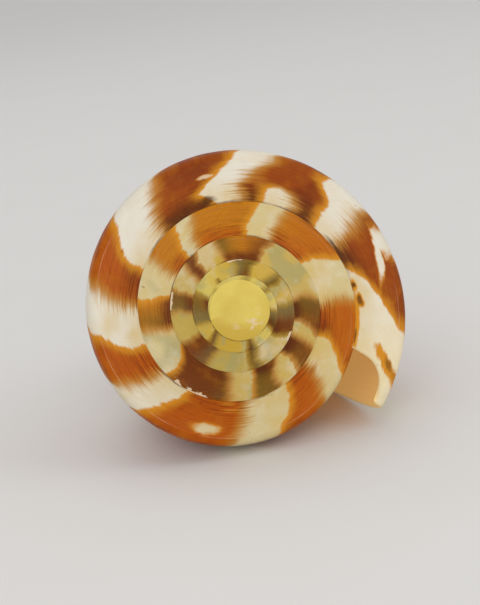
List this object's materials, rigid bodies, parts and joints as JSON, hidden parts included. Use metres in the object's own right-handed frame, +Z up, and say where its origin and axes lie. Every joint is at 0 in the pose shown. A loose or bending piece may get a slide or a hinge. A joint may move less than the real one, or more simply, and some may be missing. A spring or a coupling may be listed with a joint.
{
  "type": "cone shell",
  "caption": "Broad-shouldered cone shell with a low stepped spire, lying on its lip and body whorl, with orange-brown flames on white",
  "frame": {"origin": "on the surface the shell lies on, under the middle of its bounding box", "axes": "+Z is up, the spire faces -Y and the narrow front end points along +Y, so +Y is along the shell's length"},
  "size_m": [0.046, 0.0728, 0.0418],
  "materials": {
    "shell_glaze": "natural shell, worn gloss, white with orange-brown flames"
  },
  "bodies": {
    "root": {"shell": "shell_glaze"}
  },
  "joints": []
}
